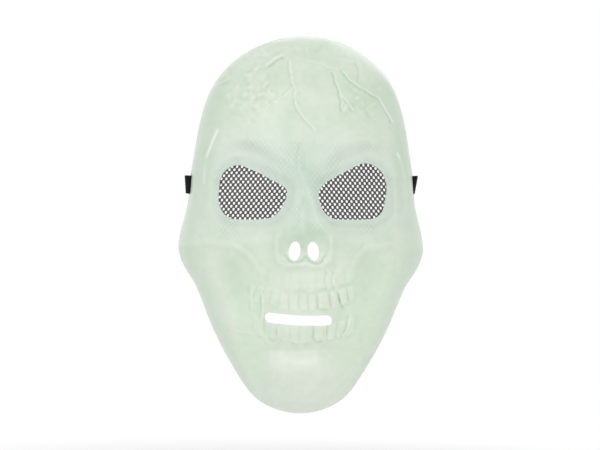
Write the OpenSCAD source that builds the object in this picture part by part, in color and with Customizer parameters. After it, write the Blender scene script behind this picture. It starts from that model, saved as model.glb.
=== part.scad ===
// Skull face mask: a thin formed plastic shell with perforated eye screens and an elastic head strap.
// Frame: +Z up, the face looks along -Y, the rim lies in the plane y = 0,
// and z = 0 is the level of the strap slots.

/* [Shell outline] */
// Height of the crown above the strap slots
crown_h = 99; // [85:1:115]
// Drop of the chin below the strap slots
chin_drop = 152; // [135:1:170]
// Width across the crown, a little below its top
crown_w = 86; // [70:1:95]
// Width across the forehead
forehead_w = 125; // [110:1:135]
// Width across the temples, just above the strap slots
temple_w = 147; // [130:1:155]
// Width just below the strap slots
ear_w = 151; // [140:1:160]
// Width across the cheekbones
cheek_w = 163; // [150:1:180]
// Width under the cheekbones
hollow_w = 139; // [125:1:150]
// Width across the jaw at the lower teeth
jaw_w = 114; // [95:1:125]
// Width across the chin
chin_w = 89; // [75:1:100]

/* [Shell depth] */
// Depth of the shell at the crown
crown_d = 39; // [30:1:50]
// Depth of the shell at the forehead
forehead_d = 63; // [50:1:75]
// Depth of the shell at the brow
brow_d = 76; // [65:1:90]
// Depth of the shell at the mouth
mouth_d = 75; // [65:1:90]
// Depth of the shell at the chin
chin_d = 68; // [55:1:80]
// Thickness of the formed sheet
wall = 0.8; // [0.6:0.1:1.2]

/* [Relief] */
// Height of the brow ridges
brow_rise = 2.5; // [1:0.5:6]
// Height of the bridge of the nose
bridge_rise = 3; // [1:0.5:8]
// Height of the nose tip above the nostrils
nose_rise = 4; // [1:0.5:8]
// Height of the rim round the nose opening
nose_rim_rise = 2; // [0.5:0.5:4]
// Height of the cheekbones
cheekbone_rise = 4; // [2:0.5:9]
// Depth of the hollows under the cheekbones
hollow_sink = 8; // [2:0.5:11]
// Height of the jaw ridges
jaw_rise = 4; // [1:0.5:6]
// Height of the tooth rows
teeth_rise = 5; // [2:0.5:8]
// Height of the chin boss
chin_rise = 5; // [2:0.5:8]
// Depth of the crease above the chin
chin_crease = 3; // [1:0.5:5]
// Depth of the hollows at the temples
temple_sink = 3; // [1:0.5:5]

/* [Eyes] */
// Distance from the middle of the face to the middle of an eye opening
eye_x = 32.5; // [30:0.5:35]
// Height of the eye openings above the strap slots
eye_z = -5; // [-12:1:4]
// Width of an eye opening
eye_w = 49; // [42:1:52]
// Height of an eye opening
eye_h = 36; // [32:1:40]
// Depth of the socket floor in front of the rim
socket_d = 65; // [60:1:68]
// Angle that the socket floor turns back towards the temple
socket_turn = 28; // [22:1:32]
// Angle that the socket floor leans back under the brow
socket_lean = 9; // [4:1:12]

/* [Nose and mouth] */
// Distance from the middle of the face to a nostril
nostril_x = 6; // [5:0.1:8]
// Height of the nostrils, measured from the strap slots
nostril_z = -43.5; // [-50:0.5:-40]
// Width of a nostril
nostril_w = 7.4; // [5:0.1:8]
// Height of a nostril
nostril_h = 12.5; // [10:0.5:14]
// Sideways lean of a nostril
nostril_lean = 8; // [0:1:15]
// Place of the mouth slot across the face
mouth_x = -3; // [-6:0.5:6]
// Height of the mouth slot, measured from the strap slots
mouth_z = -87; // [-92:0.5:-82]
// Width of the mouth slot
mouth_w = 44; // [30:1:55]
// Height of the mouth slot
mouth_h = 6.5; // [4:0.5:9]
// Sag of the mouth slot in its middle
mouth_sag = 0.8; // [0:0.1:3]
// Angle that the mouth slot falls towards +X
mouth_tilt = 2; // [0:0.5:5]

/* [Eye screens] */
// Thickness of the perforated sheet
screen_t = 0.8; // [0.5:0.1:1.2]
// Width of the sheet past the edge of the eye opening
screen_margin = 4.5; // [4:0.5:5.5]
// Distance between holes along a row
hole_pitch = 3.6; // [3:0.1:5]
// Distance between rows of holes
row_pitch = 2; // [1.9:0.1:3]
// Size of a hole
hole_d = 2.2; // [1.4:0.1:2.3]
// Distance between a screen and the shell
screen_gap = 0.3; // [0.2:0.1:0.5]
// Width of a glue spot
glue_w = 4; // [3:0.1:4.5]
// Height of a glue spot
glue_h = 1.4; // [0.8:0.1:2]

/* [Strap] */
// Width of the elastic
strap_w = 12; // [8:0.5:16]
// Thickness of the elastic
strap_t = 1.2; // [0.8:0.1:1.8]
// Distance from the rim to the strap slots
slot_setback = 12; // [9:0.5:16]
// Play of the elastic in its slot, on each side
slot_play = 0.9; // [0.5:0.1:1.5]
// Play of the elastic round the rim of the shell
loop_gap = 0.4; // [0.3:0.1:0.8]
// Distance that the fold of the elastic stands off the outside of the shell
loop_out = 2.2; // [0.4:0.1:3]
// Length of the sewn tail behind the rim
tail_l = 14; // [11:0.5:18]
// Distance of the band from the sewn tail
swing_gap = 0.4; // [0.3:0.1:0.6]
// Radius of the turn where the band drops from the tail
turn_r = 14; // [12:1:20]
// Drop of the hanging band below its turns
strap_sag = 100; // [85:1:115]
// Number of stitches in a bar tack
stitch_n = 5; // [3:1:7]
// Length of a stitch
stitch_l = 2.4; // [1.5:0.1:3]
// Thickness of the thread
thread_d = 0.7; // [0.5:0.1:1]

/* [Hidden] */
shell_colour = [0.84, 0.89, 0.83];
screen_colour = [0.16, 0.16, 0.17];
glue_colour = [0.92, 0.9, 0.82];
strap_colour = [0.06, 0.06, 0.06];
thread_colour = [0.2, 0.2, 0.2];

mid_z = (crown_h - chin_drop) / 2;
half_h = (crown_h + chin_drop) / 2;

// Heights of the cross-sections, measured from the strap slots
jaw_z = -98;
hollow_z = -68;
under_cheek_z = -53;
cheekbone_z = -40;
ear_z = -12;
temple_z = 10;
forehead_z = 60;
// Distances of the chin and crown sections from the ends of the shell
lip_in = 9;
chin_in = 31;
crown_in = 14;
// Size of the section at the chin's lip, as shares of the chin's width and depth
lip_w_share = 0.31;
lip_d_share = 0.66;
// Rounding below the cheekbones
cheek_round = 3;
// Cross-sections from chin to crown: height, half width, depth on the middle line
stations = [
    [-chin_drop, 0, 0],
    [lip_in - chin_drop, chin_w * lip_w_share, chin_d * lip_d_share],
    [chin_in - chin_drop, chin_w / 2, chin_d],
    [jaw_z, jaw_w / 2, mouth_d],
    [hollow_z, hollow_w / 2, mouth_d],
    [under_cheek_z, cheek_w / 2 - cheek_round, mouth_d],
    [cheekbone_z, cheek_w / 2, brow_d],
    [ear_z, ear_w / 2, brow_d],
    [temple_z, temple_w / 2, brow_d],
    [forehead_z, forehead_w / 2, forehead_d],
    [crown_h - crown_in, crown_w / 2, crown_d],
    [crown_h, 0, 0]
];
// Roundness of the cross-sections, where 2 is an ellipse
section_power = 2.3;
// Rows of the shell's surface in its forehead, its eyes and nose, and its jaw
forehead_rows = 13;
middle_rows = 25;
jaw_rows = 20;
// Heights where these zones meet
eye_zone_top = 30;
eye_zone_bottom = -62;
// Slant of the rows along the brow: share of the half width, rise
row_slant = [[0, -10], [0.07, -9.5], [0.5, 5.5], [0.58, 7], [0.66, 5], [0.78, -0.5], [1, 0]];
// Height where the rows slant most, and how far from it the slant fades
slant_z = 15;
slant_reach = 18;
// Columns of the shell's surface
columns = 42;
// How evenly rows and columns are spaced: 1 is even, 0 crowds them at the rim
even = 0.65;
// How fast the relief fades towards the rim
rim_fade = 6;
// Width of the flat ledge round an eye opening, and of the slope beyond it
ledge = 6;
ledge_slope = 12;

// Angle of a height on the shell, from -90 at the chin to 90 at the crown
function level(z) = asin(max(-1, min(1, (z - mid_z) / half_h)));
station_levels = [for (s = stations) level(s[0])];
last_station = len(stations) - 1;

// Slope of a station list's column at station i
function station_slope(i, column) =
    let (a = max(0, i - 1), b = min(last_station, i + 1))
    (stations[b][column] - stations[a][column]) / (station_levels[b] - station_levels[a]);

// Station that starts the span holding an angle
function span_of(angle, i = 0) =
    i >= last_station - 1 || angle < station_levels[i + 1] ? i : span_of(angle, i + 1);

// Smooth curve through one column of the stations
function loft(angle, column) =
    let (
        i = span_of(angle),
        step = station_levels[i + 1] - station_levels[i],
        u = (angle - station_levels[i]) / step,
        start = stations[i][column],
        end = stations[i + 1][column]
    )
    start * (1 + 2 * u) * (1 - u) ^ 2 + end * u ^ 2 * (3 - 2 * u)
    + step * u * (1 - u) * ((1 - u) * station_slope(i, column) - u * station_slope(i + 1, column));

function half_width(z) = loft(level(z), 1);

// Soft round bump, and soft ridge along a line of points
function bump(x, z, at, size) = exp(-((x - at[0]) / size[0]) ^ 2 - ((z - at[1]) / size[1]) ^ 2);
function to_segment(p, a, b) =
    let (t = max(0, min(1, (p - a) * (b - a) / ((b - a) * (b - a)))))
    norm(p - a - t * (b - a));
function ridge(p, line, size) =
    let (away = min([for (i = [0 : len(line) - 2]) to_segment(p, line[i], line[i + 1])]))
    exp(-(away / size) ^ 2);
function ease(a, b, v) = let (t = max(0, min(1, (v - a) / (b - a)))) t * t * (3 - 2 * t);

// Radii of an eye opening's corners, and the inset of its lower inner one
upper_r = 13;
lower_r = 12.5;
inner_r = 13.5;
inner_in = 1.5;
tip_r = 4.6;
// Corner circles of an eye opening, in the socket floor's own plane: across, up, radius
eye_corners = let (w = eye_w / 2, h = eye_h / 2) [
    [w - upper_r, h - upper_r, upper_r],
    [w - lower_r, lower_r - h, lower_r],
    [inner_in + inner_r - w, inner_r - h, inner_r],
    [tip_r - w, 0, tip_r]
];
// Corner circle that reaches furthest in a direction
function eye_reach(a, c) = c[0] * cos(a) + c[1] * sin(a) + c[2];
function eye_support(a) = max([for (c = eye_corners) eye_reach(a, c)]);
eye_supports = [for (a = [0 : 10 : 350]) [cos(a), sin(a), eye_support(a)]];
// Distance outside the edge of an eye opening
function eye_distance(u, v) = max([for (s = eye_supports) u * s[0] + v * s[1] - s[2]]);
// Point at a distance outside the edge of an eye opening, in a direction
function eye_edge(a, distance) =
    let (
        best = eye_support(a),
        c = [for (c = eye_corners) if (eye_reach(a, c) > best - 0.001) c][0]
    )
    [c[0] + (c[2] + distance) * cos(a), c[1] + (c[2] + distance) * sin(a)];

// Ridges on half of the face: height, softness, and points on the ridge, across and up
ridges = [
    [brow_rise, 8, [[5, 5], [22, 15], [44, 23], [57, 13]]],
    [bridge_rise, 7, [[0, 0], [0, -28]]],
    [nose_rim_rise, 4, [[18, -33], [16, -48], [0, -53]]],
    [cheekbone_rise, 9, [[20, -31], [46, -34], [74, cheekbone_z]]],
    [jaw_rise, 6, [[60, under_cheek_z], [46, -90]]]
];
// Swells and hollows on half of the face: height, middle, and softness across and up
swells = [
    [nose_rise, [0, -32], [12, 9]],
    [-hollow_sink, [46, -66], [13, 15]],
    [teeth_rise, [0, mouth_z + 5], [30, 20]],
    [chin_rise, [0, chin_in - chin_drop], [22, 9]],
    [-chin_crease, [0, chin_in + 14 - chin_drop], [26, 4]],
    [-temple_sink, [64, 14], [8, 18]]
];
// Relief at a point of half of the face: how far it stands out
function sum(list) = list * [for (v = list) 1];
function relief(x, z) =
    sum([for (r = ridges) r[0] * ridge([x, z], r[2], r[1])])
    + sum([for (s = swells) s[0] * bump(x, z, s[1], s[2])]);

// Depth of the shell's outer face in front of the rim
function depth(x, z) =
    let (
        across = abs(x),
        share = min(1, across / max(0.001, half_width(z))),
        dome = loft(level(z), 2) * sqrt(max(0, 1 - share ^ section_power)),
        raised = dome + relief(across, z) * (1 - share ^ rim_fade),
        out = across - eye_x,
        up = (z - eye_z) * tan(socket_lean),
        floor_d = socket_d - tan(socket_turn) * out - up / cos(socket_turn),
        u = out / cos(socket_turn) + up * tan(socket_turn),
        away = eye_distance(u, (z - eye_z) / cos(socket_lean)),
        hold = 1 - ease(ledge, ledge + ledge_slope, away)
    )
    share >= 1 ? 0 : raised * (1 - hold) + floor_d * hold;

// Points of the shell's outer face, by row angle and column angle from -90 to 90
function spread(t, a, b) =
    (1 - even) * (a + (b - a) * t) + even * asin(sin(a) + (sin(b) - sin(a)) * t);
function outer(row, column) =
    let (
        row_z = mid_z + half_h * sin(row),
        slant = lookup(abs(sin(column)), row_slant),
        z = row_z + slant * exp(-((row_z - slant_z) / slant_reach) ^ 2),
        x = half_width(z) * sin(column)
    )
    [x, abs(column) > 89.99 ? 0 : -depth(x, z), z];
function outward(row, column) =
    let (
        d = 0.5,
        c = max(-89, min(89, column)),
        n = cross(outer(row, c + d) - outer(row, c - d), outer(row + d, c) - outer(row - d, c)),
        flat = abs(column) > 89.99 ? [n[0], 0, n[2]] : n
    )
    flat / norm(flat);

row_angles = concat(
    [for (i = [1 : forehead_rows]) spread(i / forehead_rows, 90, level(eye_zone_top))],
    [for (i = [1 : middle_rows]) spread(i / middle_rows, level(eye_zone_top), level(eye_zone_bottom))],
    [for (i = [1 : jaw_rows - 1]) spread(i / jaw_rows, level(eye_zone_bottom), -90)]
);
column_angles = [for (j = [0 : columns]) spread(j / columns, -90, 90)];

// Frame of an eye socket: its floor's outer face is the plane z = 0, facing out of the mask
module at_socket(side) {
    mirror([side < 0 ? 1 : 0, 0, 0])
        translate([eye_x, -socket_d, eye_z])
            rotate([90 - socket_lean, 0, socket_turn])
                children();
}

module eye_outline(grow) {
    hull()
        for (c = eye_corners)
            translate([c[0], c[1]])
                circle(c[2] + grow, $fn = 48);
}

// Closed thin shell: outer face, inner face and the flat rim between them
module shell_blank() {
    n = columns + 1;
    m = len(row_angles);
    outside = [for (r = row_angles) for (c = column_angles) outer(r, c)];
    inside = [for (r = row_angles) for (c = column_angles) outer(r, c) - wall * outward(r, c)];
    poles = [
        [0, 0, crown_h], [0, 0, -chin_drop], [0, 0, crown_h - wall], [0, 0, wall - chin_drop]
    ];
    k = m * n;
    top_o = 2 * k;
    bottom_o = top_o + 1;
    top_i = top_o + 2;
    bottom_i = top_o + 3;
    skin = [for (i = [0 : m - 2]) for (j = [0 : n - 2])
        let (a = i * n + j, b = a + n)
        each j < columns / 2 ? [[a, a + 1, b], [a + 1, b + 1, b]] : [[a, a + 1, b + 1], [a, b + 1, b]]];
    caps = [for (j = [0 : n - 2]) each [
        [top_o, j + 1, j],
        [bottom_o, (m - 1) * n + j, (m - 1) * n + j + 1]
    ]];
    outer_faces = concat(skin, caps);
    inner_of = [for (f = outer_faces) [for (v = [f[2], f[1], f[0]]) v < k ? v + k : v + 2]];
    left_o = concat([top_o], [for (i = [0 : m - 1]) i * n], [bottom_o]);
    right_o = concat([top_o], [for (i = [0 : m - 1]) i * n + n - 1], [bottom_o]);
    rim = [for (i = [0 : m]) each [
        let (a = left_o[i], b = left_o[i + 1], c = b < k ? b + k : b + 2) [a, b, c],
        let (a = left_o[i], b = left_o[i + 1]) [a, b < k ? b + k : b + 2, a < k ? a + k : a + 2],
        let (a = right_o[i], b = right_o[i + 1]) [a, a < k ? a + k : a + 2, b < k ? b + k : b + 2],
        let (a = right_o[i], b = right_o[i + 1]) [a, b < k ? b + k : b + 2, b]
    ]];
    polyhedron(concat(outside, inside, poles), concat(outer_faces, inner_of, rim), convexity = 12);
}

// Straight steps in the curve of the mouth slot
mouth_steps = 6;
slot_w = strap_t + 2 * slot_play;

// Everything that is punched out of the shell
module shell_cuts() {
    through = 2 * brow_d;
    for (side = [-1, 1]) {
        at_socket(side)
            linear_extrude(eye_h, center = true)
                eye_outline(0);
        translate([side * nostril_x, 0, nostril_z])
            rotate([90, side * -nostril_lean, 0])
                linear_extrude(through)
                    scale([nostril_w / nostril_h, 1])
                        circle(d = nostril_h, $fn = 32);
        hull()
            for (end = [-1, 1])
                translate([side * half_width(0), -slot_setback, end * (strap_w - strap_t) / 2])
                    rotate([0, 90, 0])
                        cylinder(h = slot_setback, d = slot_w, center = true, $fn = 16);
    }
    translate([mouth_x, 0, mouth_z])
        rotate([90, mouth_tilt, 0])
            linear_extrude(through)
                for (i = [0 : mouth_steps - 1])
                    hull()
                        for (t = [i / mouth_steps, (i + 1) / mouth_steps])
                            translate([(t - 0.5) * (mouth_w - mouth_h), -mouth_sag * sin(180 * t)])
                                circle(d = mouth_h, $fn = 24);
}

module mask_shell() {
    color(shell_colour)
        difference() {
            shell_blank();
            shell_cuts();
        }
}

// Staggered holes, kept to the part of the sheet that the eye opening shows
module screen_holes() {
    across = ceil(eye_w / hole_pitch);
    up = ceil(eye_h / row_pitch);
    for (j = [-up : up])
        for (i = [-across : across]) {
            u = (i + (j % 2 == 0 ? 0 : 0.5)) * hole_pitch;
            v = j * row_pitch;
            if (eye_distance(u, v) < hole_d / 4)
                translate([u, v])
                    circle(d = hole_d, $fn = 6);
        }
}

screen_back = -wall - screen_gap - screen_t;

module eye_screen(side) {
    color(screen_colour)
        at_socket(side)
            translate([0, 0, screen_back])
                linear_extrude(screen_t)
                    difference() {
                        eye_outline(screen_margin);
                        screen_holes();
                    }
}

// Glue spots on the back of a screen, along its margin
glue_angles = [0, 75, 130, 200, 255, 305];

module screen_glue(side) {
    ball_r = ((glue_w / 2) ^ 2 + glue_h ^ 2) / (2 * glue_h);
    color(glue_colour)
        at_socket(side)
            for (a = glue_angles)
                translate(concat(eye_edge(a, screen_margin / 2), screen_back))
                    mirror([0, 0, 1])
                        rotate_extrude($fn = 48)
                            intersection() {
                                translate([0, glue_h - ball_r])
                                    circle(ball_r, $fn = 96);
                                square([glue_w, glue_h]);
                            }
}

// Frame of a strap end: x out of the wall, y back from the rim, z along the wall
wall_tilt = atan((half_width(-strap_w / 2) - half_width(strap_w / 2)) / strap_w);
next_x = half_width(0) * sin(column_angles[columns - 1]);
wall_splay = atan((half_width(0) - next_x) / depth(next_x, 0));

module at_strap_end(side) {
    mirror([side < 0 ? 1 : 0, 0, 0])
        translate([half_width(0), 0, 0])
            rotate([0, -wall_tilt, 0])
                rotate([0, 0, -wall_splay])
                    children();
}

// Elastic folded through the slot and round the rim, with its sewn tail
module strap_end(side) {
    inside = wall + loop_gap;
    color(strap_colour)
        at_strap_end(side)
            linear_extrude(strap_w, center = true)
                union() {
                    translate([-inside, strap_t / 2 - slot_setback])
                        difference() {
                            hole = [inside + loop_out, slot_setback + loop_gap - strap_t / 2];
                            translate([-strap_t, -strap_t])
                                square(hole + 2 * [strap_t, strap_t]);
                            square(hole);
                        }
                    translate([-inside - strap_t, 0])
                        square([strap_t, tail_l]);
                }
}

// Space before and after a bar tack, its distance from the elastic's edges, and how far it stands out
tack_room = 0.6;
tack_edge = 1.5;
tack_proud = 0.15;

// Bar tack that closes the loop just behind the rim
module strap_stitch(side) {
    stitch_pitch = (strap_w - 2 * tack_edge) / (stitch_n - 1);
    color(thread_colour)
        at_strap_end(side)
            for (i = [0 : stitch_n - 1])
                translate([
                    -wall - loop_gap - strap_t - tack_proud,
                    loop_gap + strap_t + tack_room,
                    (i - (stitch_n - 1) / 2) * stitch_pitch - thread_d / 2
                ])
                    cube([strap_t + 2 * tack_proud, stitch_l, thread_d]);
}

// Path of the hanging band: point and the direction of its width
band_x = half_width(0) - wall - loop_gap - 1.5 * strap_t - swing_gap - strap_w / 2 * tan(wall_tilt);
band_start = loop_gap + strap_t + stitch_l + 2 * tack_room;
band_y = band_start + turn_r;
turn_steps = 6;
sag_steps = 36;

function turn_point(side, a) = [
    [side * band_x, band_start + turn_r * sin(a), -turn_r * (1 - cos(a))],
    [0, sin(a), cos(a)]
];
band_path = concat(
    [for (i = [0 : turn_steps - 1]) turn_point(1, 90 * i / turn_steps)],
    [for (i = [0 : sag_steps])
        let (a = 180 * i / sag_steps)
        [[band_x * cos(a), band_y, -turn_r - strap_sag * sin(a)], [0, 1, 0]]],
    [for (i = [turn_steps - 1 : -1 : 0]) turn_point(-1, 90 * i / turn_steps)]
);

module strap_band() {
    last = len(band_path) - 1;
    points = [for (i = [0 : last])
        let (
            ahead = band_path[min(last, i + 1)][0] - band_path[max(0, i - 1)][0],
            wide = band_path[i][1] * strap_w / 2,
            face = cross(ahead, band_path[i][1]),
            thick = face / norm(face) * strap_t / 2
        )
        each [for (c = [[1, 1], [1, -1], [-1, -1], [-1, 1]]) band_path[i][0] + c[0] * wide + c[1] * thick]];
    sides = [for (i = [0 : last - 1]) for (j = [0 : 3])
        let (a = 4 * i + j, b = 4 * i + (j + 1) % 4) each [[a, a + 4, b + 4], [a, b + 4, b]]];
    end = 4 * last;
    ends = [[0, 1, 2], [0, 2, 3], [end, end + 2, end + 1], [end, end + 3, end + 2]];
    color(strap_colour)
        polyhedron(points, concat(sides, ends), convexity = 6);
}

mask_shell();
eye_screen(-1);  // eye_screen_left
eye_screen(1);  // eye_screen_right
screen_glue(-1);  // screen_glue_left
screen_glue(1);  // screen_glue_right
strap_end(-1);  // strap_end_left
strap_end(1);  // strap_end_right
strap_stitch(-1);  // strap_stitch_left
strap_stitch(1);  // strap_stitch_right
strap_band();
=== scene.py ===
"""Looks of a skull face mask: a translucent formed shell, perforated eye screens, glue and an elastic strap.

Shapes are worked out in millimetres in the part's own frame and become metres in the meshes.
"""

import math
from contextlib import contextmanager

import bmesh
import bpy
import numpy as np
from mathutils import Matrix, Vector
from mathutils.geometry import delaunay_2d_cdt


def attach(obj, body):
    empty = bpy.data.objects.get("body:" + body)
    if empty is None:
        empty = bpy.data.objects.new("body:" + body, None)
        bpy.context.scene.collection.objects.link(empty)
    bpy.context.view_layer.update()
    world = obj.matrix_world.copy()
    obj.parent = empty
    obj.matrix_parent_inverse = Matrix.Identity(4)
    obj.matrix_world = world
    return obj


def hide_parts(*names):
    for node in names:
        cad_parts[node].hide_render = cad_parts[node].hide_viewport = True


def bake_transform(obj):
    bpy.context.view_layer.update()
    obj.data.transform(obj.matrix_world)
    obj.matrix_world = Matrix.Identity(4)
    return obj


MM = 0.001
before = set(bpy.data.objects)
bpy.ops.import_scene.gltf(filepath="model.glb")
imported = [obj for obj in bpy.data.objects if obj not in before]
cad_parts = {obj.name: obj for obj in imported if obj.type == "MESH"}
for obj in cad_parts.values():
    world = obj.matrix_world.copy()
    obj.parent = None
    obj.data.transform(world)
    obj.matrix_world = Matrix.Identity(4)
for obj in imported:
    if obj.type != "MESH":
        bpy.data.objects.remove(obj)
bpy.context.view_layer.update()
scene = bpy.context.scene

# Form of the shell, with the curves of the part's source: the crown above and the chin below the strap slots
CROWN_H, CHIN_DROP = 99.0, 152.0
MID_Z, HALF_H = (CROWN_H - CHIN_DROP) / 2, (CROWN_H + CHIN_DROP) / 2
WALL = 0.8
# How square a cross-section is, and how late the relief fades out towards the rim
SECTION_POWER, RIM_FADE = 2.3, 6
# Cross-sections from chin to crown: height, half width, depth on the middle line
STATIONS = np.array([
    [-152, 0, 0], [-143, 27.59, 44.88], [-121, 44.5, 68], [-98, 57, 75], [-68, 69.5, 75], [-53, 78.5, 75],
    [-40, 81.5, 76], [-12, 75.5, 76], [10, 73.5, 76], [60, 62.5, 63], [85, 43, 39], [99, 0, 0],
], float)
# Ridges on half of the face: height, softness, points
RIDGES = [
    (2.5, 8, [(5, 5), (22, 15), (44, 23), (57, 13)]),
    (3, 7, [(0, 0), (0, -28)]),
    (2, 4, [(18, -33), (16, -48), (0, -53)]),
    (4, 9, [(20, -31), (46, -34), (74, -40)]),
    (4, 6, [(60, -53), (46, -90)]),
]
# Swells and hollows on half of the face: height, middle, softness across and up
SWELLS = [
    (4, (0, -32), (12, 9)), (-8, (46, -66), (13, 15)), (5, (0, -82), (30, 20)),
    (5, (0, -121), (22, 9)), (-3, (0, -107), (26, 4)), (-3, (64, 14), (8, 18)),
]
# Eye openings and the flat socket floors that they are cut in, with a ledge that slopes into the face
EYE_X, EYE_Z, EYE_W, EYE_H = 32.5, -5.0, 49.0, 36.0
SOCKET_D, SOCKET_TURN, SOCKET_LEAN = 65.0, math.radians(28), math.radians(9)
LEDGE, LEDGE_SLOPE = 6.0, 12.0
# Half width of the blunt edge where the two socket floors meet on the middle line
BRIDGE_R = 7.0
# Screens behind the openings: thickness, gap behind the sheet, margin round the opening
SCREEN_T, SCREEN_GAP, SCREEN_MARGIN = 0.8, 0.3, 4.5
# Corner circles of an eye opening in the socket floor's own plane: across, up, radius
EYE_CORNERS = [
    (EYE_W / 2 - 13, EYE_H / 2 - 13, 13), (EYE_W / 2 - 12.5, 12.5 - EYE_H / 2, 12.5),
    (15 - EYE_W / 2, 13.5 - EYE_H / 2, 13.5), (4.6 - EYE_W / 2, 0, 4.6),
]
# The same for the two openings as they are cut, which differ a little, and for the screens: -1 left, 1 right
EYE_CUTS = {
    -1: [(13.3, 4.5, 12.3), (10.6, -4, 14.8), (-9.6, -5.5, 12.6), (-18.6, -2.3, 5.7)],
    1: [(10, 4.2, 14.8), (9.9, -5.1, 12.4), (-13.3, -4.9, 13.2), (-17.8, -3.1, 9)],
}
SCREEN_CORNERS = {-1: EYE_CORNERS, 1: EYE_CORNERS + [(-10.8, -4.6, 13.5)]}


def level(z):
    """Angle that spreads the height evenly over the shell's round ends."""
    return np.degrees(np.arcsin(np.clip((z - MID_Z) / HALF_H, -1, 1)))


STATION_LEVELS = level(STATIONS[:, 0])


def loft(z, column):
    """Smooth curve through one column of the stations."""
    t, v = STATION_LEVELS, STATIONS[:, column]
    slope = np.empty(len(t))
    slope[1:-1] = (v[2:] - v[:-2]) / (t[2:] - t[:-2])
    slope[0] = (v[1] - v[0]) / (t[1] - t[0])
    slope[-1] = (v[-1] - v[-2]) / (t[-1] - t[-2])
    a = level(np.asarray(z, float))
    i = np.clip(np.searchsorted(t, a, side="right") - 1, 0, len(t) - 2)
    step = t[i + 1] - t[i]
    u = (a - t[i]) / step
    return (v[i] * (1 + 2 * u) * (1 - u) ** 2 + v[i + 1] * u ** 2 * (3 - 2 * u)
            + step * u * (1 - u) * ((1 - u) * slope[i] - u * slope[i + 1]))


def half_width(z):
    return loft(z, 1)


def ease(a, b, v):
    t = np.clip((v - a) / (b - a), 0, 1)
    return t * t * (3 - 2 * t)


def away_from(x, z, line):
    """Distance from a line of points."""
    best = np.full(np.broadcast(x, z).shape, 1e9)
    for (ax, az), (bx, bz) in zip(line, line[1:]):
        dx, dz = bx - ax, bz - az
        t = np.clip(((x - ax) * dx + (z - az) * dz) / (dx * dx + dz * dz), 0, 1)
        best = np.minimum(best, np.hypot(x - ax - t * dx, z - az - t * dz))
    return best


def ridge(x, z, line, size):
    return np.exp(-(away_from(x, z, line) / size) ** 2)


def bump(x, z, at, size):
    return np.exp(-((x - at[0]) / size[0]) ** 2 - ((z - at[1]) / size[1]) ** 2)


def block(x, z, left, right, low, high):
    """Soft-edged rectangle."""
    soft = 1.8
    return (ease(left - soft, left + soft, x) * ease(right + soft, right - soft, x)
            * ease(low - soft, low + soft, z) * ease(high + soft, high - soft, z))


def reaches(a, circles):
    return [c[0] * math.cos(a) + c[1] * math.sin(a) + c[2] for c in circles]


def hull_distance(u, v, circles):
    """Distance outside the outline stretched round a set of circles, negative inside it."""
    best = np.full(np.broadcast(u, v).shape, -1e9)
    for a in np.radians(np.arange(0, 360, 5)):
        best = np.maximum(best, u * math.cos(a) + v * math.sin(a) - max(reaches(a, circles)))
    return best


def eye_distance(x, z, circles=EYE_CORNERS):
    """Distance outside an eye opening's edge, in the socket floor's plane, for points seen from the front."""
    lean = (z - EYE_Z) * math.tan(SOCKET_LEAN)
    across = (np.abs(x) - EYE_X) / math.cos(SOCKET_TURN) + lean * math.tan(SOCKET_TURN)
    return hull_distance(across, (z - EYE_Z) / math.cos(SOCKET_LEAN), circles)


def eye_edge(a, grow, circles):
    """Point at a distance outside the edge of an eye opening, in a direction."""
    reach = reaches(a, circles)
    c = circles[reach.index(max(reach))]
    return c[0] + (c[2] + grow) * math.cos(a), c[1] + (c[2] + grow) * math.sin(a)


# Fine relief, seen from the front with x to the viewer's right.
# Rows of teeth: edges between them, how clearly each shows, heights of gum, tips and roots, how far they fan
UPPER_TEETH = dict(
    edges=[-36, -31, -25.8, -20.4, -14.6, -8.5, -3.1, 2.8, 8.6, 16.6, 22.6, 28.4, 33.5],
    strength=[0.5, 0.55, 0.45, 0.4, 0.5, 0.5, 0.6, 0.6, 0.95, 0.95, 1, 0.8],
    gum=-70.6, tip=-82.0, root=-57, fan=0.008, seed=31)
LOWER_TEETH = dict(
    edges=[-31, -23.9, -15.9, -8.2, -1.7, 6.3, 15.0, 20.8, 26.6, 32],
    strength=[0.45, 0.75, 0.4, 0.35, 0.4, 0.75, 0.65, 0.7, 0.6],
    gum=-102.2, tip=-91.0, root=-108, fan=0.003, seed=33)
# Cracks on the forehead: height of the raised line, depth of the dip on its left, points
CRACKS = [
    (0.9, 0.4, [(-10.7, 79.5), (-10, 74.1), (-9.7, 69.9), (-8.9, 65.8), (-8.2, 63.3), (-6.9, 59.7),
                (-7.3, 55.6), (-6.6, 51.1), (-4.6, 46.6), (-0.9, 42)]),
    (0.45, 0.2, [(-0.9, 42), (4.1, 37.2), (6.6, 33.7)]),
    (0.7, 0.5, [(-8.3, 63.2), (-11.1, 59.6), (-14.1, 56.1), (-18, 54.5), (-22, 52.5)]),
    (0.5, 0.4, [(-22, 52.5), (-24.9, 49.5), (-28.3, 47.5)]),
    (0.45, 0.75, [(17.4, 72.5), (20.4, 65.3), (23, 57.2), (23.5, 52.6), (24, 48.1)]),
    (0.45, 0.65, [(23, 57.2), (25.5, 54.2), (31.1, 48.3)]),
    (0.6, 0.75, [(23.9, 73.8), (27.2, 70.2), (30.4, 66.7), (36.8, 62.8), (45.2, 58.1), (48.3, 56.2)]),
    (0.85, 0.45, [(48.3, 56.8), (50.4, 53.8), (52, 50.8), (55.7, 44.9), (57.5, 41)]),
    (0.2, 0.5, [(34.3, 67.3), (35.1, 72.1), (35.1, 76.4), (33.3, 79.6)]),
    (0.45, 0.15, [(1, 80.2), (3.3, 79.6), (10.4, 78.2), (15.6, 75.6), (20, 74.5)]),
]
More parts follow.
